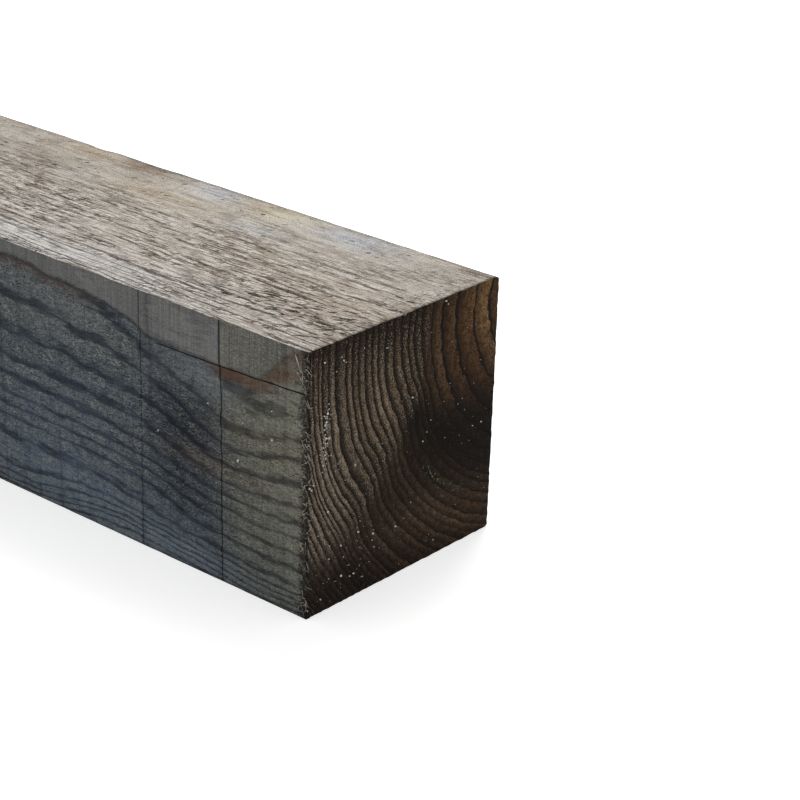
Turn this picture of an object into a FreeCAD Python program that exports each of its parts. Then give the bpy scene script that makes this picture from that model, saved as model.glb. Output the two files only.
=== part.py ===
"""A square-sawn softwood post, lying on one of its long faces.

One piece of timber, so one solid. The frame is the post's own: X runs along the length, the
end that was cut last is at +X, -Y is the dark front face, +Z is the weathered top face, and the
origin is the middle of the underside. All sizes are in millimetres.
"""

import FreeCAD, Part
import math
import os

# The sawn post.
LENGTH = 2400.0
WIDTH = 100.0
HEIGHT = 100.0

# How far the saw and handling have rounded each long edge (arris).
FRONT_TOP_RADIUS = 0.8
FRONT_BOTTOM_RADIUS = 0.8
BACK_BOTTOM_RADIUS = 1.5
BACK_TOP_RADIUS = 3.0

# Hollows broken out of the back top edge: (distance from the +X end to the middle, length, depth).
LONG_CHIP = (174.0, 24.0, 1.3)
SMALL_CHIP = (206.0, 14.0, 0.7)

# How far the round cutter that makes a chip reaches to each side of the edge.
CUTTER_REACH = 30.0

X_AXIS = FreeCAD.Vector(1, 0, 0)


def section_corner(y_side, z_side, radius):
    """One rounded corner of the section: where the arc starts, its middle and where it ends.

    y_side is -1 at the front and +1 at the back; z_side is 0 at the bottom and 1 at the top.
    """
    z_sign = 1 if z_side else -1
    corner_y = y_side * WIDTH / 2
    corner_z = z_side * HEIGHT
    centre_y = corner_y - y_side * radius
    centre_z = corner_z - z_sign * radius
    reach = radius * math.sqrt(0.5)
    on_side = FreeCAD.Vector(0, corner_y, centre_z)
    middle = FreeCAD.Vector(0, centre_y + y_side * reach, centre_z + z_sign * reach)
    on_level = FreeCAD.Vector(0, centre_y, corner_z)
    return on_side, middle, on_level


def section_wire():
    """The square section with its four worn corners, in the plane X = 0."""
    fb_side, fb_middle, fb_level = section_corner(-1, 0, FRONT_BOTTOM_RADIUS)
    bb_side, bb_middle, bb_level = section_corner(1, 0, BACK_BOTTOM_RADIUS)
    bt_side, bt_middle, bt_level = section_corner(1, 1, BACK_TOP_RADIUS)
    ft_side, ft_middle, ft_level = section_corner(-1, 1, FRONT_TOP_RADIUS)
    edges = [
        Part.Arc(fb_side, fb_middle, fb_level).toShape(),
        Part.makeLine(fb_level, bb_level),
        Part.Arc(bb_level, bb_middle, bb_side).toShape(),
        Part.makeLine(bb_side, bt_side),
        Part.Arc(bt_side, bt_middle, bt_level).toShape(),
        Part.makeLine(bt_level, ft_level),
        Part.Arc(ft_level, ft_middle, ft_side).toShape(),
        Part.makeLine(ft_side, fb_side),
    ]
    return Part.Wire(edges)


def chip_cutter(distance, length, depth):
    """A cylinder lying across the back top edge, whose round side leaves a shallow hollow in it."""
    outward = FreeCAD.Vector(0, 1, 1).normalize()
    across = FreeCAD.Vector(0, 1, -1).normalize()
    radius = (length ** 2 / 4 + depth ** 2) / (2 * depth)
    sharp_corner = FreeCAD.Vector(LENGTH / 2 - distance, WIDTH / 2, HEIGHT)
    worn_away = BACK_TOP_RADIUS * (math.sqrt(2) - 1)
    axis_point = sharp_corner + outward * (radius - depth - worn_away)
    return Part.makeCylinder(radius, 2 * CUTTER_REACH, axis_point - across * CUTTER_REACH, across)


def post():
    """The whole post: the section run along the length, then the two hollows."""
    blank = Part.Face(section_wire()).extrude(X_AXIS * LENGTH)
    blank.translate(X_AXIS * (-LENGTH / 2))
    for chip in (LONG_CHIP, SMALL_CHIP):
        blank = blank.cut(chip_cutter(*chip))
    return blank.Solids[0]


os.makedirs("parts", exist_ok=True)
solid = post()
solid.exportStep("parts/post.step")
print("post", solid.optimalBoundingBox(), "volume", round(solid.Volume), "valid", solid.isValid())
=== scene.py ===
# %% [markdown]
# # A weathered redwood post
#
# The object is one length of sawn redwood, 100 x 100 mm, lying on the ground. It has no parts to
# fit together, so everything here is about its surface: growth rings on the cut end, raised grey
# grain on the top, and a dark front face, damp-stained and partly painted in shade, with saw marks
# and torn fibres.
#
# The imported model gives the size and place of the post. This script loads it, builds a finer
# skin that stands for it, and lights it on a white floor.

import math
import random

import bmesh
import bpy
import numpy as np
from mathutils import Matrix, Vector, noise


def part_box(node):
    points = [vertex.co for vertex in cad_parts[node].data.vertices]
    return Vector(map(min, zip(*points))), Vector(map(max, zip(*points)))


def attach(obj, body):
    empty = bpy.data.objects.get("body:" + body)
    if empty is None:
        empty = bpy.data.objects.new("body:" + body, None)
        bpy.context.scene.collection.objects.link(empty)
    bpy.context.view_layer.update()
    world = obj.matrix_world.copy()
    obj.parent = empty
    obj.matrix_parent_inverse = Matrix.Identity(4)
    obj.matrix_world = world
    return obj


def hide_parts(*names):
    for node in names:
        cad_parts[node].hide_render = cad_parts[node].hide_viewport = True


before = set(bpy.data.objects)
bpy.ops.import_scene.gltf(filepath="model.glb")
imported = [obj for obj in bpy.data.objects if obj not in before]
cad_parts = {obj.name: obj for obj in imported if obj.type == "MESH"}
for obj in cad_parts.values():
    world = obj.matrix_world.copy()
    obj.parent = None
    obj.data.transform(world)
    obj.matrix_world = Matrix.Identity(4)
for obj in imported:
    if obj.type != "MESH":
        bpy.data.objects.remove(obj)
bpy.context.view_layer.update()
low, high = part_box("post")

MM = 0.001
LENGTH = (high.x - low.x) / MM
WIDTH = (high.y - low.y) / MM
HEIGHT = (high.z - low.z) / MM
print("post, mm:", round(LENGTH), round(WIDTH), round(HEIGHT))

# %% [markdown]
# ## Places on the post
#
# A carpenter measures a post from its cut end. Here "from_end" is the distance in millimetres
# from the shown end, y runs from the front face (-50) to the back (+50), and z is the height
# above the underside. Every pattern below is placed with these three numbers.


# %% Small helpers for shaping by distance
def smooth_step(low_value, high_value, value):
    """0 below low_value, 1 above high_value, and a smooth change between."""
    share = np.clip((value - low_value) / (high_value - low_value), 0.0, 1.0)
    return share * share * (3.0 - 2.0 * share)


def bump(distance, width):
    """1 at distance 0, falling smoothly to nothing over about twice the width."""
    return np.exp(-(distance / width) ** 2)


def wander(values, size, amount, seed):
    """Smooth random wandering along one axis: steps of about size mm, up to about amount mm."""
    points = (Vector((v / size, seed * 7.31, seed * 1.77)) for v in values)
    return amount * np.array([noise.noise(point) for point in points])


def mottle(places, stretch, seed):
    """Smooth random values between about -1 and 1 at 3-D places, with a grain size per axis."""
    scaled = places / np.array(stretch) + seed * 13.7
    return np.array([noise.noise(Vector(place)) for place in scaled])


# %% [markdown]
# ## Growth rings
#
# A post is cut out of a round tree, so its rings are arcs around a pith. This one was sawn from
# beside the pith, which lies outside the section, to the upper right of the shown end. The young
# rings near it are 8 to 10 mm wide, and the old ones near the front face under 3 mm. A dent runs
# through the rings from the middle of the end towards the lower front corner.
#
# One formula gives the ring number at any place in the wood. The end shows it as arcs, the top
# as straight lines and the front as wide wavy bands, and they meet at the edges as in real wood.

# %% Ring number anywhere in the wood
PITH_Y = 77.0
PITH_Z = 90.0
FIRST_RING = 24.0
RING_WIDTHS = [9, 8.5, 10, 8, 5.5, 5, 4, 3, 4, 4, 4.5, 3.5, 3, 3.5, 3.5, 3, 3, 5.5, 3.5, 3, 1.7, 2.8,
               2.5, 1.3, 1.5, 2.4, 2.9, 2.5, 2.4, 2.6, 2.9, 3.2, 1.5, 1.3, 1.4, 1.2, 1.4, 1.6, 2, 3, 3, 3]
RING_RADII = FIRST_RING + np.concatenate([[0.0], np.cumsum(RING_WIDTHS)])

DENT_START = (3.3, 64.0)
DENT_END = (-25.0, 33.0)
DENT_DEPTH = 3.3


def dent(y, z):
    """How far the rings are pressed towards the pith along the slanting dent, in mm."""
    run_y = DENT_END[0] - DENT_START[0]
    run_z = DENT_END[1] - DENT_START[1]
    run = math.hypot(run_y, run_z)
    along = ((y - DENT_START[0]) * run_y + (z - DENT_START[1]) * run_z) / run
    across = ((y - DENT_START[0]) * run_z - (z - DENT_START[1]) * run_y) / run
    width = np.where(across < 0, 8.5, 13.0)
    fade = bump(np.minimum(along, 0.0), 11.0) * bump(np.maximum(along - run, 0.0), 13.0)
    return DENT_DEPTH * bump(across, width) * fade


def front_lift(from_end, z):
    """How far the bands on the front face rise (or sink) from where they stand at the end, in mm."""
    sink = 8.5 * bump(z - 57.0, 19.0) * bump(from_end - 41.0, np.where(from_end < 41.0, 21.0, 17.0))
    rise = smooth_step(44.0, 84.0, from_end)
    climb = (5.0 * smooth_step(30.0, 50.0, z) + 8.0 * bump(z - 26.0, 12.0)) * rise
    settle = 4.0 * bump(z - 5.0, 9.0) * smooth_step(95.0, 150.0, from_end)
    low_wave = 3.5 * bump(z - 4.0, 8.0) * bump(from_end - 81.0, 34.0)
    return climb - sink - settle + low_wave


def ring_number(from_end, y, z):
    """The growth ring that a place lies in, counted from the pith, with its fraction."""
    reach = bump(y + WIDTH / 2, 26.0)
    lifted = z - front_lift(from_end, z) * reach
    pith_y = PITH_Y + wander(from_end, 260.0, 6.0, 1) - wander([0.0], 260.0, 6.0, 1)
    pith_z = PITH_Z + wander(from_end, 400.0, 9.0, 2) - wander([0.0], 400.0, 9.0, 2)
    radius = np.hypot(y - pith_y, lifted - pith_z) + dent(y, lifted)
    radius = radius + wander(from_end + 3.0 * y, 34.0, 0.7, 3) * smooth_step(0.0, 25.0, from_end)
    return np.interp(radius, RING_RADII, np.arange(len(RING_RADII), dtype=float))


middle_ring = ring_number(np.array([0.0]), np.array([0.0]), np.array([HEIGHT / 2]))
print("rings across the top of the end:", len(RING_WIDTHS), "; ring at its middle:", middle_ring.round(1))

# %% [markdown]
# ## The blank
#
# A sawn post starts as a plain square bar, and so does this skin. A grid makes one end, extruding
# it gives the bar, and cuts across the four long faces make rows. The rows are then slid towards
# the shown end, so that the mesh is fine where fibres and saw marks are seen from close by and
# coarse along the rest. In the same way the grid lines crowd towards the four long edges.

# %% The bar, cut into rows
GRID = 72
ROWS = 282
NEAR_SHARE = 0.185
EDGE_CROWDING = 0.5

bm = bmesh.new()
bmesh.ops.create_grid(bm, x_segments=GRID, y_segments=GRID, size=0.5)
bmesh.ops.rotate(bm, verts=bm.verts, cent=(0, 0, 0), matrix=Matrix.Rotation(math.radians(90), 3, "Y"))
bar = bmesh.ops.extrude_face_region(bm, geom=bm.faces[:])
far_verts = [part for part in bar["geom"] if isinstance(part, bmesh.types.BMVert)]
bmesh.ops.translate(bm, verts=far_verts, vec=(-1, 0, 0))
long_edges = [e for e in bm.edges if abs(e.verts[0].co.x - e.verts[1].co.x) > 0.5]
bmesh.ops.subdivide_edges(bm, edges=long_edges, cuts=ROWS - 1, use_grid_fill=True)
bmesh.ops.recalc_face_normals(bm, faces=bm.faces)

skin = bpy.data.meshes.new("post_skin")
bm.to_mesh(skin)
bm.free()
triangles = sum(len(face.vertices) - 2 for face in skin.polygons)
print("blank:", len(skin.vertices), "points,", triangles, "triangles")


# %% Rows and lines slid to where detail is needed
def crowd(share):
    """Moves places between -0.5 and 0.5 so that they crowd towards both ends."""
    return share + EDGE_CROWDING * np.sin(2 * math.pi * share) / (2 * math.pi)


unit = np.zeros(len(skin.vertices) * 3)
skin.vertices.foreach_get("co", unit)
unit = unit.reshape(-1, 3)
row = -unit[:, 0]
from_end = LENGTH * (NEAR_SHARE * row + (1 - NEAR_SHARE) * row ** 4)
y = WIDTH * crowd(unit[:, 1])
z = HEIGHT * (crowd(unit[:, 2]) + 0.5)
print("row spacing near the end, mm:", round(LENGTH * NEAR_SHARE / ROWS, 2),
      "; at the far end:", round(LENGTH * (NEAR_SHARE + 4 * (1 - NEAR_SHARE)) / ROWS, 1))

# %% Which faces each point lies on
NEAR = 0.01
on_top = z > HEIGHT - NEAR
on_bottom = z < NEAR
on_front = y < -WIDTH / 2 + NEAR
on_back = y > WIDTH / 2 - NEAR
on_end = from_end < NEAR
on_far_end = from_end > LENGTH - NEAR
rings = ring_number(from_end, y, z)
places = np.stack([from_end, y, z], axis=1)

# %% [markdown]
# ## The sawn strip on the front face
#
# Most of the front face was torn by the saw and lies slightly low. Along its top edge a strip
# stayed smooth. Its lower edge sags to 18 mm below the top a little way from the end and then
# rises again. "strip_depth" is the height above that edge, so it is positive on the strip.


# %% Lower edge of the smooth strip
def strip_edge(distance):
    """Height of the smooth strip's lower edge, at a distance from the shown end, in mm."""
    falls = 98.0 - 15.5 * smooth_step(3.0, 26.0, distance)
    rises = 7.5 * smooth_step(70.0, 102.0, distance) + 3.5 * smooth_step(100.0, 150.0, distance)
    return falls + rises + wander(distance, 9.0, 1.2, 4) + wander(distance, 170.0, 2.0, 5)


strip_depth = np.where(on_front, z - strip_edge(from_end), -40.0)

# %% [markdown]
# ## Relief
#
# Wood this rough isn't flat: the soft part of each ring has worn lower than the hard part, the
# torn area of the front stands below the smooth strip, and the blade left steps across it. Each
# face gets its own depth, and the points are pushed in along that face by it. The long edges are
# rounded first, by different amounts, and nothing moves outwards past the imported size.

# %% How deep each face is worn
SAW_STEP_1 = 41.0
SAW_STEP_2 = 81.0
STEP_HEIGHT = 0.12
STEP_HALF = 0.7


def soft_part(ring):
    """1 in the worn, soft part of each ring and 0 at its hard edge."""
    part = ring - np.floor(ring)
    return smooth_step(0.0, 0.25, part) * (1.0 - smooth_step(0.55, 1.0, part))


def wear(plain, by_soft, by_coarse, by_fine):
    """Depth in mm: a plain part, and what the soft wood and the coarse and fine noise add."""
    return plain + by_soft * soft + by_coarse * coarse + by_fine * fine


soft = soft_part(rings)
coarse = mottle(places, (7.0, 3.2, 3.2), 1)
fine = mottle(places, (3.4, 1.7, 1.7), 2)
end_coarse = mottle(places, (5.0, 4.0, 4.0), 3)

rough_front_half = 1.0 - 0.6 * smooth_step(0.0, 40.0, y)
top_depth = 0.10 + wear(0.0, 0.25, 0.22, 0.16) * rough_front_half
torn = smooth_step(1.2, -1.2, strip_depth)
stepped = STEP_HEIGHT * smooth_step(SAW_STEP_1 - STEP_HALF, SAW_STEP_1 + STEP_HALF, from_end)
stepped = stepped - STEP_HEIGHT * smooth_step(SAW_STEP_2 - STEP_HALF, SAW_STEP_2 + STEP_HALF, from_end)
front_depth = 0.05 + torn * (wear(0.50, 0.32, 0.34, 0.26) + stepped)
front_depth = front_depth + torn * bump(from_end, 2.4) * (0.5 + 1.0 * fine)
smoother_top_edge = 1.0 - 0.8 * smooth_step(HEIGHT - 16.0, HEIGHT - 3.0, z)
smoother_end_edge = 0.2 + 0.8 * smooth_step(0.0, 8.0, from_end)
side_depth = wear(0.12, 0.20, 0.16, 0.10) * smoother_top_edge * smoother_end_edge
end_depth = 0.10 + 0.20 * soft + 0.12 * end_coarse + 0.08 * fine

# %% Worn long edges, and the chips broken out of the back top edge
RADIUS_BACK_TOP = 2.2
RADIUS_BACK_BOTTOM = 1.2
RADIUS_FRONT = 0.7
edge_radius = np.where(y > 0, np.where(z > HEIGHT / 2, RADIUS_BACK_TOP, RADIUS_BACK_BOTTOM), RADIUS_FRONT)
edge_radius = edge_radius * (1.0 + 0.12 * mottle(places * np.array([1.0, 0.0, 0.0]), (9.0, 1.0, 1.0), 4))
inner_y = np.clip(y, -WIDTH / 2 + edge_radius, WIDTH / 2 - edge_radius)
inner_z = np.clip(z, edge_radius, HEIGHT - edge_radius)
reach = np.hypot(y - inner_y, z - inner_z)
scale = np.where(reach > edge_radius, edge_radius / np.maximum(reach, 1e-6), 1.0)
shaped = np.stack([from_end, inner_y + (y - inner_y) * scale, inner_z + (z - inner_z) * scale], axis=1)

CHIPS = [(174.0, 12.0, 0.2), (206.0, 7.0, 0.4)]
near_back_top = bump(WIDTH / 2 - y, 2.5) * bump(HEIGHT - z, 2.5)
for chip_middle, chip_half, chip_depth in CHIPS:
    hollow = np.clip(1.0 - ((from_end - chip_middle) / chip_half) ** 2, 0.0, 1.0)
    shaped[:, 1] -= chip_depth * hollow * near_back_top
    shaped[:, 2] -= chip_depth * hollow * near_back_top

# %% Crumbled edges round the two ends
on_side = on_top | on_bottom | on_front | on_back
LEAST_CRUMBLE = 0.05
MOST_CRUMBLE = 1.2
crumble = np.clip(0.30 + 0.8 * mottle(places, (2.0, 1.6, 1.6), 5), LEAST_CRUMBLE, MOST_CRUMBLE)
crumble = np.where(on_side & (on_end | on_far_end), crumble, 0.0)
end_crumble = crumble * np.where(on_front | on_top, 0.7, 0.15)
shaped[:, 0] += np.where(on_end, end_crumble, 0.0) - np.where(on_far_end, end_crumble, 0.0)
shaped[:, 2] -= np.where(on_top, crumble * 0.3, 0.0) - np.where(on_bottom, crumble * 0.1, 0.0)
shaped[:, 1] += np.where(on_front, crumble * 0.9, 0.0) - np.where(on_back, crumble * 0.1, 0.0)

# %% Points pushed in, and set in the post's own frame
shaped[:, 2] -= np.where(on_top, np.clip(top_depth, 0.0, 2.0), 0.0)
shaped[:, 2] += np.where(on_bottom, np.clip(side_depth - 0.3, 0.0, 0.6), 0.0)
shaped[:, 1] += np.where(on_front, np.clip(front_depth, 0.0, 2.5), 0.0)
shaped[:, 1] -= np.where(on_back, np.clip(side_depth, 0.0, 1.5), 0.0)
shaped[:, 0] += np.where(on_end, np.clip(end_depth, 0.0, 1.5), 0.0)
shaped[:, 0] -= np.where(on_far_end, np.clip(end_depth, 0.0, 1.5), 0.0)
final = np.stack([high.x - shaped[:, 0] * MM, shaped[:, 1] * MM, low.z + shaped[:, 2] * MM], axis=1)
skin.vertices.foreach_set("co", final.ravel())
print("deepest wear, mm: top", top_depth.max().round(2), "front", front_depth.max().round(2))

# %% [markdown]
# ## Stains
#
# Years outdoors coloured each face in soft patches. They are laid down as a painter would, with
# a base colour and a few round brushes, each with a colour, a place, two radii in mm and a
# strength. Some strokes are painted shade rather than stain: the dark chip and line along the back
# top edge, and part of the front's dark blue-grey. The result is stored on the points, and the
# materials add the fine pattern over it.


# %% Colours from sRGB hex, and the soft brush
def linear(hex_colour):
    """An sRGB hex colour such as 8a7f70 as linear red, green and blue."""
    parts = [int(hex_colour[i:i + 2], 16) / 255 for i in (0, 2, 4)]
    return [part / 12.92 if part <= 0.04045 else ((part + 0.055) / 1.055) ** 2.4 for part in parts]


def paint(base, strokes, across, up):
    """Base colour with soft elliptical strokes laid over it, one colour per point."""
    colour = np.tile(np.array(linear(base)), (len(across), 1))
    for hex_colour, centre, radii, strength in strokes:
        share = strength * bump(across - centre[0], radii[0]) * bump(up - centre[1], radii[1])
        colour = colour + (np.array(linear(hex_colour)) - colour) * share[:, None]
    return colour


def store_colour(name, colour):
    """Keeps one colour per point on the skin, for a material to read."""
    layer = skin.attributes.new(name, "FLOAT_COLOR", "POINT")
    layer.data.foreach_set("color", np.column_stack([colour, np.ones(len(colour))]).ravel())


def store_value(name, values):
    """Keeps one number per point on the skin, for a material to read."""
    layer = skin.attributes.new(name, "FLOAT", "POINT")
    layer.data.foreach_set("value", np.asarray(values, dtype=float))


# %% Stains on the top, with painted shade along the back edge, placed by distance from the end and y
TOP_BASE = "d3c9bd"
TOP_STAIN_AND_SHADE_STROKES = [
    ("cdbaa4", (20, -15), (45, 25), 0.75),
    ("dccfbd", (90, 10), (40, 30), 0.7),
    ("d8d0c5", (20, 34), (30, 20), 0.7),
    ("d3dae4", (62, 40), (20, 8), 0.95),
    ("f2e9cc", (102, 42), (17, 8), 0.98),
    ("d0d5e0", (134, 42), (13, 7), 0.95),
    ("d9dde2", (92, 22), (16, 6), 0.7),
    ("dcc8a6", (150, 24), (24, 9), 0.6),
    ("a08d77", (178, 43), (20, 7), 0.85),
    ("cdb488", (208, 43), (16, 7), 0.7),
    ("b3a798", (218, 20), (40, 16), 0.7),
    ("f8f9fa", (140, -42), (90, 13), 0.97),
    ("dcd4c9", (160, -18), (60, 18), 0.7),
    ("b5aca1", (260, 0), (60, 40), 0.6),
    ("7e6347", (178, 45.0), (8, 2.5), 0.75),
    # Painted shade: a near-black patch in the chip broken out of the back top edge, and a dark line along
    # that rounded edge.
    ("100c09", (169, 47.3), (8, 2.1), 0.97),
    ("2e2721", (150, 48.3), (150, 1.3), 0.85),
]
store_colour("top_stain_and_shade", paint(TOP_BASE, TOP_STAIN_AND_SHADE_STROKES, from_end, y))

# %% Stains and painted shade on the front, placed by distance from the end and height
# The front's dark blue-grey is partly the damp stain and partly painted shade, with a cool cast that stands
# in for sky light.
FRONT_BASE = "6e7883"
FRONT_STROKES = [
    ("b6b29d", (6, 60), (24, 60), 0.95),
    ("a5a08b", (28, 68), (16, 18), 0.75),
    ("8b8979", (28, 22), (16, 30), 0.6),
    ("2c323f", (60, 54), (18, 24), 0.95),
    ("47505e", (62, 22), (16, 18), 0.75),
    ("9aa1a8", (52, 76), (18, 8), 0.85),
    ("6b7887", (105, 60), (26, 30), 0.6),
    ("7b8b9e", (130, 30), (44, 26), 0.85),
    ("9ab0c6", (112, 10), (52, 12), 0.9),
    ("8a9094", (130, 78), (60, 10), 0.7),
    ("b4c6d8", (62, 5), (30, 5), 0.85),
    ("94806e", (38, 44), (30, 4), 0.5),
    ("94806e", (20, 60), (20, 4), 0.5),
]
SIDE_BASE = "575552"
SIDE_STROKES = [("4a4b4b", (300, 50), (200, 60), 0.6), ("625c54", (900, 40), (300, 40), 0.6)]
side_stain_and_shade = paint(SIDE_BASE, SIDE_STROKES, from_end, z)
front_stain_and_shade = paint(FRONT_BASE, FRONT_STROKES, from_end, z)
store_colour("side_stain_and_shade", np.where(on_front[:, None], front_stain_and_shade, side_stain_and_shade))

# %% Stains on the end, placed by y and height
END_BASE = "4a3b2f"
END_STROKES = [
    ("9f8e7b", (-34, 64), (18, 28), 0.88),
    ("a28d74", (-12, 64), (18, 22), 0.9),
    ("b0a28f", (-42, 38), (14, 24), 0.88),
    ("7a6c5c", (-18, 42), (12, 12), 0.6),
    ("b08a5e", (38, 92), (20, 26), 0.95),
    ("8a6648", (36, 70), (18, 12), 0.75),
    ("110b07", (26, 47), (30, 13), 0.95),
    ("120e0c", (5, 58), (8, 8), 0.9),
    ("140f0c", (44, 36), (16, 12), 0.9),
    ("58432f", (0, 34), (18, 8), 0.5),
    ("352b24", (-26, 9), (30, 11), 0.9),
    ("7b6149", (30, 9), (30, 11), 0.85),
    ("86705c", (6, 18), (26, 9), 0.85),
    ("352820", (-14, 97), (40, 7), 0.75),
]
store_colour("end_stain", paint(END_BASE, END_STROKES, y, z))

# %% The dry, pale area of the end, and the other measures that the materials read
DRY_EDGE = [(-60.0, 20.0), (-42.0, 22.0), (-17.0, 33.0), (-8.0, 47.0), (5.0, 60.0), (12.0, 80.0),
            (14.0, 110.0)]
dry_y = [point[0] for point in DRY_EDGE]
dry_z = [point[1] for point in DRY_EDGE]
NEVER_DRY = 400.0
DAMP_TOP_RIM = 3.0
dry_height = z - np.interp(y, dry_y, dry_z) - NEVER_DRY * smooth_step(12.0, 15.0, y)
store_value("dry_height", np.minimum(dry_height, (HEIGHT - DAMP_TOP_RIM - z) * 0.9))
store_value("ring", rings)
store_value("strip_height", strip_depth)
store_value("from_end", from_end)
store_value("front_only", on_front)
slits_in_front = bump(from_end - 36.0, 34.0) * bump(y + 27.0, 11.0)
slits_at_back = 0.45 * bump(from_end - 70.0, 30.0) * bump(y - 41.0, 5.0)
slits_at_end = 0.5 * bump(from_end - 8.0, 10.0) * (0.5 + 0.5 * bump(y + 20.0, 30.0))
slit_zone = slits_in_front + slits_at_back + slits_at_end
store_value("slit_zone", np.clip(slit_zone, 0.0, 1.0))

# %% [markdown]
# ## Faces given to three finishes
#
# The top, the sides and the ends look different because they were cut and weathered differently,
# so the skin has three materials. Each face of the mesh takes the one of the side it points to.

# %% One skin object with its face materials
post = bpy.data.objects.new("post_skin", skin)
bpy.context.scene.collection.objects.link(post)
TOP, SIDE, END = 0, 1, 2
corners = np.zeros(len(skin.loops), dtype=int)
skin.loops.foreach_get("vertex_index", corners)
first = np.zeros(len(skin.polygons), dtype=int)
skin.polygons.foreach_get("loop_start", first)
face_points = np.stack([corners[first + step] for step in range(4)], axis=1)


def whole_face(on_side):
    """The faces that have all four corners on one side of the post."""
    return on_side[face_points].all(axis=1)


finish = np.full(len(skin.polygons), SIDE)
finish[whole_face(on_top)] = TOP
finish[whole_face(on_end) | whole_face(on_far_end)] = END
skin.polygons.foreach_set("material_index", finish)
skin.polygons.foreach_set("use_smooth", np.ones(len(skin.polygons), dtype=bool))
skin.update()
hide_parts("post")
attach(post, "root")
print("faces on top, sides, ends:", [int((finish == kind).sum()) for kind in (TOP, SIDE, END)])

# %% [markdown]
# ## Materials
#
# All three are the same wood, redwood (Scots pine) left rough from the saw, so they share one
# way of working: positions are turned to millimetres, noises are stretched along the grain, and
# the ring number draws the hard and soft parts of the growth rings. Rough dry wood has a typical
# IOR of 1.5 and a roughness near 0.9; what the eye sees is the relief and the change of colour.
#
# One function adds any node. Its inputs may go by number: a Map Range takes the value as 0, the
# two limits as 1 and 2, and what it gives at them as 3 and 4; a Math node takes 0 and 1.

# %% One function that adds a shader node
SMOOTH = {"interpolation_type": "SMOOTHSTEP"}


def add(tree, kind, inputs=None, **settings):
    """Adds a node. inputs maps an input's name or number to a value, a node or a socket."""
    node = tree.nodes.new("ShaderNode" + kind)
    for name, value in settings.items():
        setattr(node, name, value)
    for name, value in (inputs or {}).items():
        if isinstance(value, bpy.types.Node):
            value = next(out for out in value.outputs if out.enabled)
        if isinstance(value, bpy.types.NodeSocket):
            tree.links.new(value, node.inputs[name])
        else:
            node.inputs[name].default_value = value
    return node


def colour(hex_colour):
    """A hex colour with the alpha that a colour socket wants."""
    return (*linear(hex_colour), 1.0)


# %% A dry wood shader, and the place on the post in millimetres
def new_material(name):
    """A material with nothing but its output and a rough, dry wood shader."""
    material = bpy.data.materials.new(name)
    material.use_nodes = True
    tree = material.node_tree
    tree.nodes.clear()
    wood = add(tree, "BsdfPrincipled", {"Roughness": 0.92, "IOR": 1.5, "Specular IOR Level": 0.12})
    add(tree, "OutputMaterial", {"Surface": wood})
    return material, tree, wood


def millimetres(tree):
    """The place on the post in mm, in the post's own frame."""
    spot = add(tree, "TexCoord")
    return add(tree, "Mapping", {"Vector": spot.outputs["Object"], "Scale": (1000, 1000, 1000)})


# %% Patterns that several finishes share
def grain_noise(tree, place, sizes, detail, seed, roughness=0.6):
    """Noise whose grains have the given sizes in mm along x, y and z."""
    scale = [1.0 / size for size in sizes]
    shift = (seed * 3.7, seed * 5.1, seed * 2.3)
    moved = add(tree, "Mapping", {"Vector": place, "Location": shift, "Scale": scale})
    return add(tree, "TexNoise", {"Vector": moved, "Scale": 1.0, "Detail": detail, "Roughness": roughness})


def patches(tree, place, sizes, detail, seed, limits, amounts=(0.0, 1.0)):
    """Soft patches of noise: the first amount under both limits, and the second over them."""
    spots = grain_noise(tree, place, sizes, detail, seed)
    inputs = {0: spots, 1: limits[0], 2: limits[1], 3: amounts[0], 4: amounts[1]}
    return add(tree, "MapRange", inputs, **SMOOTH)


def hump(tree, value, rise, fall):
    """0, then 1 after the value has passed the rise, then 0 again after the fall."""
    up = add(tree, "MapRange", {0: value, 1: rise[0], 2: rise[1]}, **SMOOTH)
    down = add(tree, "MapRange", {0: value, 1: fall[1], 2: fall[0]}, **SMOOTH)
    return add(tree, "Math", {0: up, 1: down}, operation="MULTIPLY")


def wobbly_ring(tree, place, sizes, detail, seed, reach):
    """The ring number kept on the skin, made to wander by up to reach rings."""
    ring = add(tree, "Attribute", attribute_name="ring").outputs["Fac"]
    wobble = patches(tree, place, sizes, detail, seed, (0.2, 0.8), (-reach, reach))
    return add(tree, "Math", {0: ring, 1: wobble}, operation="ADD")


def coat(tree, under, hex_colour, pattern, limits, amounts=(0.0, 1.0), masks=(), blend="MIX"):
    """Lays a colour over another, by the first amount under both limits and the second over them."""
    inputs = {0: pattern, 1: limits[0], 2: limits[1], 3: amounts[0], 4: amounts[1]}
    share = add(tree, "MapRange", inputs, **SMOOTH)
    for mask in masks:
        share = add(tree, "Math", {0: share, 1: mask}, operation="MULTIPLY")
    return add(tree, "Mix", {0: share, 6: under, 7: colour(hex_colour)}, data_type="RGBA", blend_type=blend)


# %% [markdown]
# ### Top: silver-grey weathered face
#
# Sun and rain bleach redwood to a light warm grey and wash out the soft wood, which leaves hard
# ridges 2 to 4 mm apart along the grain, with short dark slits between them. The ridges are
# strong along the front half and fade to a smoother, creamier surface towards the back. The saw
# tore the short slits at a slight angle to the grain.

# %% Where the top is rough, and its ring lines
weathered, tree, wood = new_material("weathered_sawn_redwood")
place = millimetres(tree)
across = add(tree, "SeparateXYZ", {"Vector": place}).outputs["Y"]
along = add(tree, "Attribute", attribute_name="from_end").outputs["Fac"]
rough_half = add(tree, "MapRange", {0: across, 1: 36.0, 2: -4.0, 3: 0.28, 4: 1.0}, **SMOOTH)
clusters = patches(tree, place, (22.0, 6.0, 6.0), 2.0, 20, (0.40, 0.60), (0.25, 1.0))
rough_end = add(tree, "MapRange", {0: along, 1: 48.0, 2: 8.0, 3: 0.0, 4: 0.8}, **SMOOTH)
rough_here = add(tree, "Math", {0: rough_half, 1: rough_end}, operation="MAXIMUM")
worn = add(tree, "Math", {0: rough_here, 1: clusters}, operation="MULTIPLY")

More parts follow.
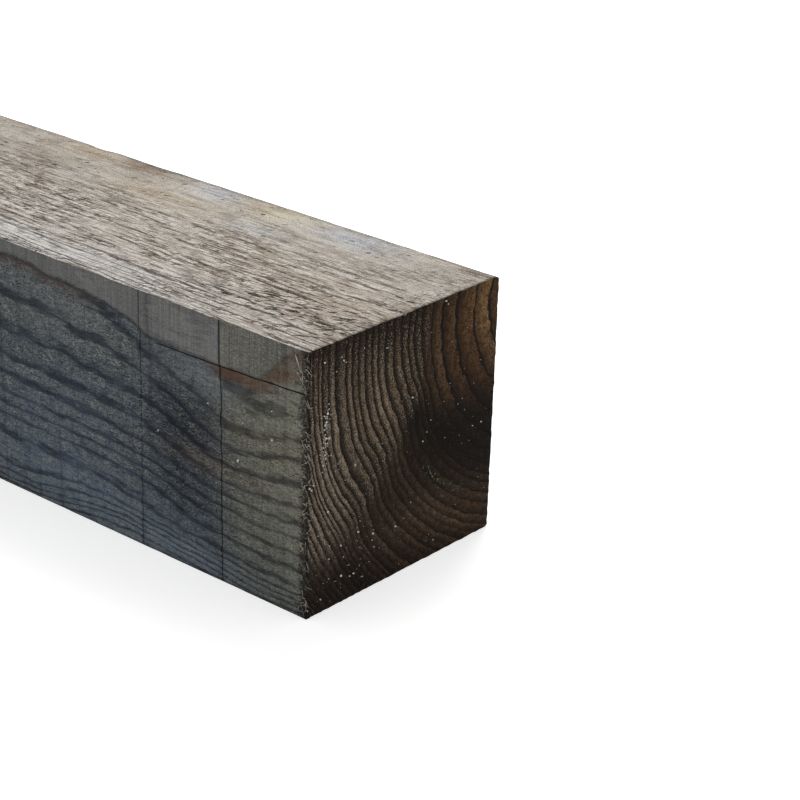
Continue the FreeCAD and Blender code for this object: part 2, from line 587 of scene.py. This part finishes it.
ring_value = wobbly_ring(tree, place, (34.0, 3.0, 3.0), 3.0, 7, 0.35)
ring_part = add(tree, "Math", {0: ring_value}, operation="FRACT")
ring_line = hump(tree, ring_part, (0.6, 0.84), (0.9, 1.0))
broken = patches(tree, place, (10.0, 1.6, 2.0), 3.0, 8, (0.44, 0.54))
near_front = add(tree, "MapRange", {0: across, 1: -18.0, 2: -36.0, 3: 0.0, 4: 0.9}, **SMOOTH)
unbroken = add(tree, "Math", {0: broken, 1: near_front}, operation="MAXIMUM")
line = add(tree, "Math", {0: ring_line, 1: unbroken}, operation="MULTIPLY")
print("ridges:", len(tree.nodes), "nodes so far")

# %% Streaks, slits and specks of the top
TEAR_ANGLE = math.radians(20)
streaks = grain_noise(tree, place, (11.0, 0.7, 2.0), 3.0, 1, 0.65)
long_marks = add(tree, "MapRange", {0: streaks, 1: 0.54, 2: 0.60}, **SMOOTH)
turned = add(tree, "Mapping", {"Vector": place, "Rotation": (0.0, 0.0, -TEAR_ANGLE)})
short_marks = patches(tree, turned, (3.0, 0.6, 2.0), 2.0, 19, (0.56, 0.61))
marks = add(tree, "Math", {0: long_marks, 1: short_marks}, operation="MAXIMUM")
wide_streaks = grain_noise(tree, place, (28.0, 2.4, 6.0), 3.0, 2)
blotch = grain_noise(tree, place, (24.0, 9.0, 9.0), 3.0, 6)
speckle = grain_noise(tree, place, (0.7, 0.42, 0.42), 2.0, 5, 0.75)
saw_marks = grain_noise(tree, place, (0.8, 16.0, 9.0), 2.0, 9)
saw_zone = patches(tree, place, (34.0, 22.0, 9.0), 1.0, 10, (0.38, 0.56))
torn_end = grain_noise(tree, place, (1.2, 1.6, 1.6), 3.0, 16, 0.7)

slit_zone = add(tree, "Attribute", attribute_name="slit_zone").outputs["Fac"]
slit_limit = add(tree, "MapRange", {0: slit_zone, 1: 0.0, 2: 1.0, 3: 0.70, 4: 0.54}, **SMOOTH)
slit_noise = grain_noise(tree, turned, (5.2, 1.25, 2.0), 1.0, 3)
slit_excess = add(tree, "Math", {0: slit_noise, 1: slit_limit}, operation="SUBTRACT")
slit = add(tree, "MapRange", {0: slit_excess, 1: 0.0, 2: 0.035}, **SMOOTH)
print("streaks and slits:", len(tree.nodes), "nodes so far")

# %% Colours of the top, from the broad stains to the smallest specks
near_end = add(tree, "MapRange", {0: along, 1: 22.0, 2: 3.0}, **SMOOTH)
arris_wander = add(tree, "MapRange", {0: torn_end, 1: 0.3, 2: 0.7, 3: -1.2, 4: 1.2}, **SMOOTH)
arris = add(tree, "Math", {0: along, 1: arris_wander}, operation="ADD")

top_colour = add(tree, "Attribute", attribute_name="top_stain_and_shade")
top_colour = coat(tree, top_colour, "ece5da", blotch, (0.46, 0.62), (0.0, 0.35))
top_colour = coat(tree, top_colour, "a8937c", blotch, (0.48, 0.32), (0.0, 0.45))
top_colour = coat(tree, top_colour, "8d7c6c", wide_streaks, (0.52, 0.66), (0.0, 0.3))
top_colour = coat(tree, top_colour, "fffaf0", streaks, (0.50, 0.40), (0.0, 0.8), [rough_half])
top_colour = coat(tree, top_colour, "7a6c5f", saw_marks, (0.52, 0.64), (0.0, 0.36), [saw_zone])
top_colour = coat(tree, top_colour, "5f4531", marks, (0.0, 1.0), (0.0, 0.97), [worn])
top_colour = coat(tree, top_colour, "3c2c22", line, (0.0, 1.0), (0.0, 0.85), [rough_half])
top_colour = coat(tree, top_colour, "655546", torn_end, (0.52, 0.62), (0.0, 0.5), [near_end])
top_colour = coat(tree, top_colour, "23160d", slit, (0.0, 1.0), (0.0, 0.95))
top_colour = coat(tree, top_colour, "7b6d60", speckle, (0.53, 0.66), (0.0, 0.5))
top_colour = coat(tree, top_colour, "fdf9f2", speckle, (0.46, 0.34), (0.0, 0.5))
top_colour = coat(tree, top_colour, "5f5347", arris, (1.4, 0.2), (0.0, 0.7))
tree.links.new(top_colour.outputs[2], wood.inputs["Base Color"])
print("top colours:", len(tree.nodes), "nodes so far")

# %% Relief too fine for the mesh, and the finished top
hollows = add(tree, "Math", {0: marks, 1: line}, operation="ADD")
raised = add(tree, "Math", {0: hollows, 1: worn}, operation="MULTIPLY")
raised = add(tree, "Math", {0: raised, 1: -0.6, 2: 0.0}, operation="MULTIPLY_ADD")
raised = add(tree, "Math", {0: slit, 1: -1.2, 2: raised}, operation="MULTIPLY_ADD")
raised = add(tree, "Math", {0: speckle, 1: -1.2, 2: raised}, operation="MULTIPLY_ADD")
relief = add(tree, "Bump", {"Height": raised, "Distance": 0.0008, "Strength": 1.0})
tree.links.new(relief.outputs[0], wood.inputs["Normal"])
skin.materials.append(weathered)
print("weathered top:", len(tree.nodes), "nodes")

# %% [markdown]
# ### Sides: blue-black, stained and partly painted in shade, torn by the saw
#
# The sides stayed damp in a stack, and blue stain has turned them nearly black. On the front this
# dark blue-grey is also partly painted shade, with a cool cast that stands in for sky light. The
# blade tore the soft wood of each ring into short pale fibres and left the hard wood smooth and
# dark, so the rings show as wide wavy bands. Across them run the fine upright marks of the saw,
# about 1 mm apart, and two deeper steps where the blade moved.

# %% Bands and fibres of the side
# The sides' colours hold painted shade as well as the damp stain.
stained, tree, wood = new_material("blue_stained_and_shaded_sawn_redwood")
place = millimetres(tree)
height_mm = add(tree, "SeparateXYZ", {"Vector": place}).outputs["Z"]
along = add(tree, "Attribute", attribute_name="from_end").outputs["Fac"]
strip_height = add(tree, "Attribute", attribute_name="strip_height").outputs["Fac"]
front_only = add(tree, "Attribute", attribute_name="front_only").outputs["Fac"]

ring_value = wobbly_ring(tree, place, (11.0, 4.0, 2.4), 4.0, 11, 0.2)
ring_part = add(tree, "Math", {0: ring_value}, operation="FRACT")
torn_band = hump(tree, ring_part, (0.0, 0.16), (0.42, 0.92))
thin_line = hump(tree, ring_part, (0.72, 0.9), (0.94, 1.0))
patchy = patches(tree, place, (14.0, 6.0, 5.0), 3.0, 18, (0.35, 0.6), (0.5, 1.0))

fibres = grain_noise(tree, place, (1.0, 0.4, 0.36), 3.0, 12, 0.8)
light_fibre = add(tree, "MapRange", {0: fibres, 1: 0.5, 2: 0.6}, **SMOOTH)
dark_gap = add(tree, "MapRange", {0: fibres, 1: 0.49, 2: 0.40}, **SMOOTH)
threads = grain_noise(tree, place, (3.4, 0.5, 0.45), 3.0, 17, 0.8)
lumps = grain_noise(tree, place, (3.5, 1.4, 1.4), 3.0, 16, 0.7)
saw_marks = grain_noise(tree, place, (0.3, 30.0, 30.0), 2.0, 13)
saw_broad = grain_noise(tree, place, (5.0, 90.0, 90.0), 2.0, 14)
print("bands and fibres:", len(tree.nodes), "nodes so far")

# %% Colours of the torn part
between_steps = hump(tree, along, (34.0, 48.0), (72.0, 86.0))
lit = add(tree, "MapRange", {0: between_steps, 3: 1.0, 4: 0.62}, **SMOOTH)
side_colour = add(tree, "Attribute", attribute_name="side_stain_and_shade")
side_colour = coat(tree, side_colour, "1f252e", torn_band, (0.05, 0.85), (0.64, 0.0), [patchy])
side_colour = coat(tree, side_colour, "0f1115", thin_line, (0.0, 1.0), (0.0, 0.45))
side_colour = coat(tree, side_colour, "24272b", threads, (0.52, 0.64), (0.0, 0.5))
fibre_masks = [torn_band, light_fibre, lit]
side_colour = coat(tree, side_colour, "cdcfc0", lumps, (0.40, 0.56), (0.25, 1.0), fibre_masks)
side_colour = coat(tree, side_colour, "bcbfba", threads, (0.47, 0.36), (0.0, 0.5), [torn_band, lit])
side_colour = coat(tree, side_colour, "131518", lumps, (0.36, 0.6), (0.8, 0.2), [dark_gap])

# %% Rust-brown line under the smooth strip, widest at the shown end
fibre_reach = add(tree, "MapRange", {0: fibres, 1: 0.2, 2: 0.8, 3: -1.8, 4: 1.8}, **SMOOTH)
ragged = add(tree, "Math", {0: strip_height, 1: fibre_reach}, operation="ADD")
rust_top = add(tree, "MapRange", {0: ragged, 1: 3.5, 2: 0.2}, **SMOOTH)
rust_near = add(tree, "MapRange", {0: along, 1: 58.0, 2: 34.0}, **SMOOTH)
rust_far = add(tree, "MapRange", {0: along, 1: 92.0, 2: 125.0, 3: 0.0, 4: 0.75}, **SMOOTH)
rust_place = add(tree, "Math", {0: rust_near, 1: rust_far}, operation="ADD")
rust_masks = [rust_top, rust_place, patchy]
rust_widening = add(tree, "MapRange", {0: along, 1: 26.0, 2: 8.0, 3: 0.0, 4: 5.0}, **SMOOTH)
rust_run = add(tree, "Math", {0: ragged, 1: rust_widening}, operation="ADD")
side_colour = coat(tree, side_colour, "7a563e", rust_run, (-6.5, -2.0), (0.0, 0.62), rust_masks)
print("torn part and rust:", len(tree.nodes), "nodes so far")

# %% Smooth grey strip
strip_colour = coat(tree, colour("74736c"), "55554f", saw_marks, (0.40, 0.64), (0.0, 0.55))
strip_colour = coat(tree, strip_colour, "454440", threads, (0.5, 0.66), (0.0, 0.5))
strip_colour = coat(tree, strip_colour, "b9b7ae", fibres, (0.5, 0.36), (0.0, 0.5))
strip_colour = coat(tree, strip_colour, "7d7f83", along, (40.0, 42.0), (0.0, 0.45))

smooth_part = add(tree, "MapRange", {0: ragged, 1: -0.3, 2: 0.5}, **SMOOTH)
strip_share = add(tree, "Math", {0: smooth_part, 1: front_only}, operation="MULTIPLY")
side_colour = add(tree, "Mix", {0: strip_share, 6: side_colour, 7: strip_colour}, data_type="RGBA")
strip_lip = hump(tree, ragged, (-1.2, -0.3), (-0.1, 0.4))
side_colour = coat(tree, side_colour, "17161a", along, (40.0, 85.0), (0.15, 0.8), [strip_lip, front_only])
side_colour = coat(tree, side_colour, "23262b", saw_marks, (0.48, 0.72), (0.0, 0.3))
side_colour = coat(tree, side_colour, "26282c", saw_broad, (0.52, 0.75), (0.0, 0.35))
print("smooth strip:", len(tree.nodes), "nodes so far")

# %% Two saw steps and one crack across the front
STEP_LEAN = 0.012
CRACK_HEIGHT = 83.7
CRACK_SLOPE = 0.028


def dark_line(tree, value, place, half_widths, strength):
    """A thin line where the value passes a place: nothing at the outer half width, full at the inner."""
    gap = add(tree, "Math", {0: value, 1: place}, operation="SUBTRACT")
    gap = add(tree, "Math", {0: gap}, operation="ABSOLUTE")
    outer, inner = half_widths
    return add(tree, "MapRange", {0: gap, 1: outer, 2: inner, 3: 0.0, 4: strength}, **SMOOTH)


step_run = add(tree, "Math", {0: height_mm, 1: -STEP_LEAN, 2: along}, operation="MULTIPLY_ADD")
step_1 = dark_line(tree, step_run, SAW_STEP_1 + 0.8 - HEIGHT * STEP_LEAN, (0.5, 0.1), 0.85)
step_2 = dark_line(tree, along, SAW_STEP_2, (0.45, 0.1), 0.5)
steps = add(tree, "Math", {0: step_1, 1: step_2}, operation="ADD")
steps = add(tree, "Math", {0: steps, 1: front_only}, operation="MULTIPLY")
side_colour = add(tree, "Mix", {0: steps, 6: side_colour, 7: colour("0d0e11")}, data_type="RGBA")

crack_run = add(tree, "Math", {0: along, 1: CRACK_SLOPE, 2: height_mm}, operation="MULTIPLY_ADD")
crack = dark_line(tree, crack_run, CRACK_HEIGHT, (0.36, 0.1), 1.0)
crack_end = add(tree, "MapRange", {0: along, 1: 76.0, 2: 70.0}, **SMOOTH)
crack = add(tree, "Math", {0: crack, 1: crack_end}, operation="MULTIPLY")
crack = add(tree, "Math", {0: crack, 1: front_only}, operation="MULTIPLY")
side_colour = add(tree, "Mix", {0: crack, 6: side_colour, 7: colour("120f10")}, data_type="RGBA")

# Dark band along the shown end of the side faces: painted shade in the torn recess there, and the dark brown
# of the torn end wood.
end_reach = add(tree, "MapRange", {0: fibres, 1: 0.2, 2: 0.8, 3: -2.4, 4: 2.4}, **SMOOTH)
end_recess_shade_and_stain = add(tree, "Math", {0: along, 1: end_reach}, operation="ADD")
side_colour = coat(tree, side_colour, "241d18", end_recess_shade_and_stain, (5.2, 2.4), (0.0, 0.85))
tree.links.new(side_colour.outputs[2], wood.inputs["Base Color"])
print("steps and crack:", len(tree.nodes), "nodes so far")

# %% Relief too fine for the mesh, and the finished side
torn_area = add(tree, "Math", {0: strip_share, 1: -0.75, 2: 1.0}, operation="MULTIPLY_ADD")
torn_height = add(tree, "MapRange", {0: torn_band, 3: 0.3, 4: 1.0}, **SMOOTH)
torn_height = add(tree, "Math", {0: torn_height, 1: torn_area}, operation="MULTIPLY")
hairs = add(tree, "Math", {0: fibres, 1: threads}, operation="SUBTRACT")
raised = add(tree, "Math", {0: torn_height, 1: hairs}, operation="MULTIPLY")
raised = add(tree, "Math", {0: raised, 1: 1.2, 2: 0.0}, operation="MULTIPLY_ADD")
raised = add(tree, "Math", {0: saw_marks, 1: 0.25, 2: raised}, operation="MULTIPLY_ADD")
raised = add(tree, "Math", {0: lumps, 1: torn_band, 2: raised}, operation="MULTIPLY_ADD")
raised = add(tree, "Math", {0: raised, 1: steps}, operation="SUBTRACT")
raised = add(tree, "Math", {0: raised, 1: crack}, operation="SUBTRACT")
relief = add(tree, "Bump", {"Height": raised, "Distance": 0.0014, "Strength": 1.0})
tree.links.new(relief.outputs[0], wood.inputs["Normal"])
skin.materials.append(stained)
print("stained side:", len(tree.nodes), "nodes")

# %% [markdown]
# ### Ends: sawn across the grain
#
# The cut end shows every growth ring: a pale wide band of soft wood and a thin dark line of hard
# wood. The upper front area has dried pale, with its rings standing out as ridges; the rest is
# still stained dark brown and smooth. Small pores lie over all of it.

# %% Rings, pores and the dry area of the end
end_grain, tree, wood = new_material("sawn_end_grain_redwood")
place = millimetres(tree)
ring_value = wobbly_ring(tree, place, (4.0, 6.0, 6.0), 4.0, 21, 0.14)
ring_part = add(tree, "Math", {0: ring_value}, operation="FRACT")
hard_line = hump(tree, ring_part, (0.26, 0.72), (0.90, 1.0))
thin_line = hump(tree, ring_part, (0.72, 0.90), (0.95, 1.0))
this_ring = add(tree, "Math", {0: ring_value}, operation="FLOOR")
ring_tint = add(tree, "TexWhiteNoise", {"W": this_ring}, noise_dimensions="1D")
pores = grain_noise(tree, place, (0.6, 0.55, 0.55), 2.0, 22, 0.8)
clots = grain_noise(tree, place, (4.0, 2.2, 2.2), 4.0, 23)
dry_height = add(tree, "Attribute", attribute_name="dry_height").outputs["Fac"]
dry_reach = add(tree, "MapRange", {0: clots, 1: 0.2, 2: 0.8, 3: -8.0, 4: 8.0}, **SMOOTH)
dry_ragged = add(tree, "Math", {0: dry_height, 1: dry_reach}, operation="ADD")
dry = add(tree, "MapRange", {0: dry_ragged, 1: -3.0, 2: 4.0}, **SMOOTH)
height_mm = add(tree, "SeparateXYZ", {"Vector": place}).outputs["Z"]
upper_part = add(tree, "MapRange", {0: height_mm, 1: 42.0, 2: 72.0}, **SMOOTH)
line_strength = add(tree, "Math", {0: dry, 1: upper_part}, operation="MAXIMUM")
print("rings and pores:", len(tree.nodes), "nodes so far")

# %% Colours and relief of the end
dry_dust = add(tree, "MapRange", {0: dry, 1: 0.0, 2: 1.0, 3: 0.1, 4: 1.0}, **SMOOTH)
bright_pore = add(tree, "MapRange", {0: pores, 1: 0.46, 2: 0.34}, **SMOOTH)
dusty_pore = add(tree, "Math", {0: bright_pore, 1: dry_dust}, operation="MULTIPLY")
end_colour = add(tree, "Attribute", attribute_name="end_stain")
end_colour = coat(tree, end_colour, "95887c", dry, (0.0, 1.0), (0.3, 0.0), blend="MULTIPLY")
end_colour = coat(tree, end_colour, "665646", clots, (0.42, 0.62), (0.0, 0.55), blend="MULTIPLY")
end_colour = coat(tree, end_colour, "84746a", ring_tint, (0.0, 1.0), (0.0, 0.6), blend="MULTIPLY")
end_colour = coat(tree, end_colour, "1c140e", dry, (0.0, 1.0), (0.5, 0.87), [hard_line])
end_colour = coat(tree, end_colour, "0d0907", line_strength, (0.0, 1.0), (0.35, 0.88), [thin_line])
end_colour = coat(tree, end_colour, "0f0a08", pores, (0.5, 0.6), (0.0, 0.7))
end_colour = coat(tree, end_colour, "bfb099", ring_part, (0.7, 0.4), (0.14, 0.6), [dusty_pore])
tree.links.new(end_colour.outputs[2], wood.inputs["Base Color"])

pits = add(tree, "MapRange", {0: pores, 1: 0.5, 2: 0.6}, **SMOOTH)
raised = add(tree, "Math", {0: hard_line, 1: -0.8, 2: 0.0}, operation="MULTIPLY_ADD")
raised = add(tree, "Math", {0: pits, 1: -0.6, 2: raised}, operation="MULTIPLY_ADD")
raised = add(tree, "Math", {0: thin_line, 1: -0.4, 2: raised}, operation="MULTIPLY_ADD")
relief = add(tree, "Bump", {"Height": raised, "Distance": 0.0008, "Strength": 1.0})
tree.links.new(relief.outputs[0], wood.inputs["Normal"])
skin.materials.append(end_grain)
print("end grain:", len(tree.nodes), "nodes")

# %% [markdown]
# ## Grit and torn fibres
#
# Small things sit on the wood. Pale grit and saw dust are stuck to the damp end and front as bits
# about a millimetre across, and a short streak of green algae grows on the end. Along the front
# edge of the shown end the saw tore the wood into hairs 1 to 6 mm long. They could be painted on,
# but as real shapes they catch the light: each bit is a small squashed ball with 20 faces, and
# each hair a thin four-sided taper, bent a little. All of one kind are joined into one mesh.

# %% Where the grit lies
END_GRIT = [(-41.5, 60, 1.1), (-42.5, 63, 0.9), (-41, 66, 1.0), (-42, 69.5, 1.2), (-41, 72, 0.9),
            (-40.5, 75, 1.0), (-41.5, 78, 0.7), (-43, 58, 0.8), (-33, 92, 0.8), (-34, 93.5, 0.7),
            (-31.8, 91, 0.6), (-42.5, 94, 1.0), (-36.5, 89, 0.7), (-11, 90, 1.1), (20, 98.5, 1.0),
            (21.2, 97, 0.8), (-49, 50, 0.9), (-48, 49, 0.8), (-47, 50.5, 0.7), (-36, 52, 0.9),
            (-35, 54.5, 0.6), (-26, 51, 1.0), (-12, 54.5, 0.6), (-42, 43.5, 0.8), (-39.5, 38, 0.9),
            (-30, 38.5, 0.7), (-31, 47, 0.6), (-23.5, 24.5, 1.1), (-15.7, 21, 1.2), (-16, 18.5, 0.9),
            (-3.5, 19.3, 1.0), (-38.5, 19.5, 0.7), (-32.5, 22.5, 0.8), (-31, 17.5, 1.0), (-15, 15.5, 0.9),
            (-12, 14, 0.6), (-32, 10.5, 1.0), (-25.5, 9, 0.9), (-21, 6, 1.1), (-42.5, 5.3, 1.0),
            (-49, 3.3, 0.8), (18, 6, 1.0), (3.5, 67, 0.9), (10, 48, 0.7), (12, 51, 0.8), (14, 55, 0.6),
            (24, 66, 0.6), (21, 60, 0.6), (29, 56.5, 0.6), (33, 53, 0.6), (38, 45, 0.7), (43, 45, 0.6)]
FRONT_GRIT = [(17, 62.7, 1.0), (30.7, 64.7, 0.9), (33, 49.8, 1.0), (25.7, 67.7, 0.6), (17.3, 73.2, 0.7),
              (47.5, 66.8, 0.8), (105.5, 94.1, 1.2), (96.2, 70.9, 0.6), (72.3, 48.5, 0.7), (43.6, 37.7, 0.6)]
ALGAE = [(11, 38, 0.8), (13, 36, 1.0), (15, 34, 0.8), (17, 32, 1.1), (19, 30, 0.9), (21, 28, 1.2),
         (23, 26.5, 0.8), (26, 25, 1.1), (28, 23.5, 0.9), (31, 22.6, 1.0), (33, 22, 0.8)]
dice = random.Random(7)
dust = [(dice.gauss(-26, 14), dice.gauss(16, 9), dice.triangular(0.2, 0.65, 0.25)) for _ in range(45)]
dust += [(dice.gauss(-41.5, 1.1), dice.gauss(67, 7), dice.triangular(0.25, 0.8, 0.35)) for _ in range(80)]
dust += [(dice.uniform(-48, 48), dice.uniform(3, 97), dice.triangular(0.2, 0.5, 0.25)) for _ in range(70)]
dust = [bit for bit in dust if abs(bit[0]) < 49 and 2 < bit[1] < 98]
print("grit on the end:", len(END_GRIT), "large,", len(dust), "fine")


# %% The grit as one mesh
def add_bit(bm, centre, size):
    """One squashed ball of grit about size mm across, turned at random."""
    ball = bmesh.ops.create_icosphere(bm, subdivisions=1, radius=size * 0.5 * MM)["verts"]
    squash = Matrix.Diagonal((dice.uniform(0.6, 1.1), dice.uniform(0.6, 1.3), dice.uniform(0.6, 1.3)))
    turn = Matrix.Rotation(dice.uniform(0, math.pi), 3, "X")
    bmesh.ops.transform(bm, verts=ball, matrix=(squash @ turn).to_4x4())
    bmesh.ops.translate(bm, verts=ball, vec=centre)


def on_end_place(side, height, lift=0.15):
    """A place on the shown end, lift mm in front of the wood's mean surface."""
    return Vector((high.x - (0.15 - lift) * MM, side * MM, low.z + height * MM))


def on_front_place(distance, height, lift=0.0):
    """A place on the front face, lift mm in front of the torn surface."""
    return Vector((high.x - distance * MM, -(WIDTH / 2 - 0.6 + lift) * MM, low.z + height * MM))


def joined_piece(name, bm, material):
    """One object from a bmesh, with one material, riding on the post."""
    bmesh.ops.recalc_face_normals(bm, faces=bm.faces)
    mesh = bpy.data.meshes.new(name)
    bm.to_mesh(mesh)
    bm.free()
    mesh.materials.append(material)
    piece = bpy.data.objects.new(name, mesh)
    bpy.context.scene.collection.objects.link(piece)
    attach(piece, "root")
    print(name, "-", len(mesh.polygons), "faces")
    return piece


def two_toned(name, light, dark, sizes, detail, seed, limits):
    """A dry material for small bits: one colour, with grains of another of the given sizes in mm."""
    material, tree, shader = new_material(name)
    grain = grain_noise(tree, millimetres(tree), sizes, detail, seed)
    tone = coat(tree, colour(light), dark, grain, limits)
    tree.links.new(tone.outputs[2], shader.inputs["Base Color"])
    return material


mineral = two_toned("pale_mineral_grit", "f0eee4", "a3aaa4", (6.0, 6.0, 6.0), 1.0, 31, (0.4, 0.6))
bm = bmesh.new()
for side, height, size in END_GRIT + dust:
    add_bit(bm, on_end_place(side, height), 0.8 * size)
for distance, height, size in FRONT_GRIT:
    add_bit(bm, on_front_place(distance, height), size)
joined_piece("stuck_grit", bm, mineral)

algae = two_toned("green_algae_streak", "6f7a5c", "454c3c", (3.0, 3.0, 3.0), 1.0, 33, (0.4, 0.6))
bm = bmesh.new()
for side, height, size in ALGAE:
    for _ in range(5):
        spot = on_end_place(side + dice.gauss(0, 0.7), height + dice.gauss(0, 0.7), 0.0)
        add_bit(bm, spot, size * dice.uniform(0.4, 0.8))
joined_piece("algae_streak", bm, algae)


# %% The torn fibres as one mesh
HAIR_STEPS = 4


def add_hair(bm, root, lean, length, thickness, curl):
    """A thin tapering hair from root along lean, bent sideways by curl (sizes in mm)."""
    ring = bmesh.ops.create_circle(bm, cap_ends=True, segments=4, radius=thickness * 0.5 * MM)["verts"]
    whole = set(ring)
    tip = [ring[0].link_faces[0]]
    for step in range(HAIR_STEPS):
        grown = bmesh.ops.extrude_face_region(bm, geom=tip)["geom"]
        tip = [part for part in grown if isinstance(part, bmesh.types.BMFace)]
        ring = [part for part in grown if isinstance(part, bmesh.types.BMVert)]
        whole.update(ring)
        bend = curl * (2 * step + 1) / HAIR_STEPS ** 2
        bmesh.ops.translate(bm, verts=ring, vec=(bend * MM, 0, length / HAIR_STEPS * MM))
        centre = sum((vert.co for vert in ring), Vector()) / len(ring)
        bmesh.ops.scale(bm, verts=ring, vec=(0.75, 0.75, 1.0), space=Matrix.Translation(-centre))
    turn = Vector(lean).normalized().to_track_quat("Z", "X").to_matrix().to_4x4()
    bmesh.ops.transform(bm, verts=list(whole), matrix=Matrix.Translation(root) @ turn)


torn_fibre = two_toned("torn_redwood_fibre", "c4bcae", "5a5148", (2.0, 5.0, 5.0), 2.0, 35, (0.4, 0.7))
bm = bmesh.new()
for _ in range(150):
    height = dice.uniform(1.0, 97.0)
    angle = math.radians(dice.gauss(-10, 60))
    lean = (math.cos(angle), dice.uniform(-0.3, 0.1), math.sin(angle))
    root = on_front_place(dice.uniform(0.6, 4.5), height, dice.uniform(-0.4, 0.2))
    add_hair(bm, root, lean, dice.uniform(1.2, 3.4), dice.uniform(0.15, 0.34), dice.gauss(0, 0.9))
for _ in range(160):
    distance = dice.uniform(6.0, 110.0)
    height = dice.uniform(4.0, 78.0)
    lean = (dice.choice((-1, 1)), dice.uniform(-0.35, -0.05), dice.gauss(0, 0.5))
    root = on_front_place(distance, height, -0.4)
    add_hair(bm, root, lean, dice.uniform(1.0, 2.6), dice.uniform(0.12, 0.24), dice.gauss(0, 0.5))
add_hair(bm, on_front_place(6.8, 97.3, 0.2), (0.6, -0.2, -0.9), 6.5, 0.62, 0.5)
add_hair(bm, on_front_place(5.8, 91.0, 0.2), (0.9, -0.25, -0.6), 5.0, 0.4, -0.5)
add_hair(bm, on_front_place(7.6, 87.5, 0.2), (0.8, -0.2, -0.7), 4.5, 0.34, 0.6)
add_hair(bm, on_front_place(16.0, 38.2, 0.0), (1.0, -0.1, 0.45), 6.5, 0.28, -1.6)
add_hair(bm, on_end_place(-2.0, 99.0, -0.3), (0.5, 0.3, 0.6), 2.4, 0.35, 0.4)
joined_piece("torn_fibres", bm, torn_fibre)

# %% [markdown]
# ## The floor
#
# The post lies on a plain white floor. The floor's own shader is mostly white paint that takes
# the shadow, lifted with a little light that only the camera and reflections see, so it stays
# white everywhere but close to the post.

# %% White floor that keeps the shadow
FLOOR_SIZE = 60.0
FLOOR_LIFT = 0.52
floor_mesh = bpy.data.meshes.new("floor")
bm = bmesh.new()
bmesh.ops.create_grid(bm, x_segments=1, y_segments=1, size=FLOOR_SIZE / 2)
bmesh.ops.translate(bm, verts=bm.verts, vec=(0, 0, low.z))
bm.to_mesh(floor_mesh)
bm.free()
floor = bpy.data.objects.new("floor", floor_mesh)
bpy.context.scene.collection.objects.link(floor)

floor_paint = bpy.data.materials.new("white_floor")
floor_paint.use_nodes = True
tree = floor_paint.node_tree
tree.nodes.clear()
paths = add(tree, "LightPath")
seen_paths = {0: paths.outputs["Is Camera Ray"], 1: paths.outputs["Is Glossy Ray"]}
seen = add(tree, "Math", seen_paths, operation="MAXIMUM")
lift = add(tree, "Math", {0: seen, 1: FLOOR_LIFT}, operation="MULTIPLY")
matt_white = add(tree, "BsdfDiffuse", {"Color": (0.9, 0.9, 0.9, 1.0)})
glow = add(tree, "Emission", {"Color": (1.0, 1.0, 1.0, 1.0), "Strength": lift})
surface = add(tree, "AddShader", {0: matt_white, 1: glow})
add(tree, "OutputMaterial", {"Surface": surface})
floor_mesh.materials.append(floor_paint)
print("floor level, m:", round(low.z, 4))

# %% [markdown]
# ## Light and camera
#
# A product studio uses a large soft box. Here it hangs overhead and slightly behind, so that the
# top is the brightest face and its ridges show. The white room lights the other faces evenly.

# %% Soft studio light
world = bpy.data.worlds.new("white_room")
bpy.context.scene.world = world
world.use_nodes = True
tree = world.node_tree
tree.nodes.clear()
paths = add(tree, "LightPath")
seen_paths = {0: paths.outputs["Is Camera Ray"], 1: paths.outputs["Is Transmission Ray"]}
seen = add(tree, "Math", seen_paths, operation="MAXIMUM")
ROOM_LEVEL = 0.62
level = add(tree, "MapRange", {"Value": seen, "To Min": ROOM_LEVEL, "To Max": 1.0})
room = add(tree, "Background", {"Color": (1.0, 1.0, 1.0, 1.0), "Strength": level})
add(tree, "OutputWorld", {"Surface": room})


def soft_box(name, place, target, size, watts):
    """A square area lamp that faces a target point."""
    lamp = bpy.data.lights.new(name, "AREA")
    lamp.shape = "SQUARE"
    lamp.size = size
    lamp.energy = watts
    holder = bpy.data.objects.new(name, lamp)
    holder.location = place
    holder.rotation_mode = "QUATERNION"
    holder.rotation_quaternion = (Vector(target) - Vector(place)).to_track_quat("-Z", "Y")
    bpy.context.scene.collection.objects.link(holder)


shown_end = Vector((high.x, 0.0, (low.z + high.z) / 2))
soft_box("overhead", shown_end + Vector((-1.2, 1.5, 2.6)), shown_end, 1.6, 54.0)
print("lamps placed")

# %% The camera, low and to the front right
AZIMUTH = math.radians(39.92)
ELEVATION = math.radians(23.86)
ROLL = math.radians(1.90)
DISTANCE = 8.252 * HEIGHT * MM
AIM_RIGHT = -0.0159 * HEIGHT * MM
AIM_UP = 0.1568 * HEIGHT * MM
LENS = 106.14
back = Vector((math.sin(AZIMUTH) * math.cos(ELEVATION), -math.cos(AZIMUTH) * math.cos(ELEVATION),
               math.sin(ELEVATION)))
level_right = Vector((math.cos(AZIMUTH), math.sin(AZIMUTH), 0.0))
level_up = back.cross(level_right)
right = level_right * math.cos(ROLL) + level_up * math.sin(ROLL)
up = level_up * math.cos(ROLL) - level_right * math.sin(ROLL)
camera = bpy.data.objects.new("camera", bpy.data.cameras.new("camera"))
camera.data.lens = LENS
camera.data.sensor_width = 36.0
camera.data.clip_start = 0.05
camera.data.clip_end = 200.0
camera.rotation_mode = "QUATERNION"
camera.rotation_quaternion = Matrix((right, up, back)).transposed().to_quaternion()
camera.location = shown_end + back * DISTANCE + right * AIM_RIGHT + up * AIM_UP
bpy.context.scene.collection.objects.link(camera)
bpy.context.scene.camera = camera
bpy.context.scene.view_settings.view_transform = "Standard"
print("camera at", [round(v, 3) for v in camera.location])

# %% The end of the script
bpy.context.view_layer.update()
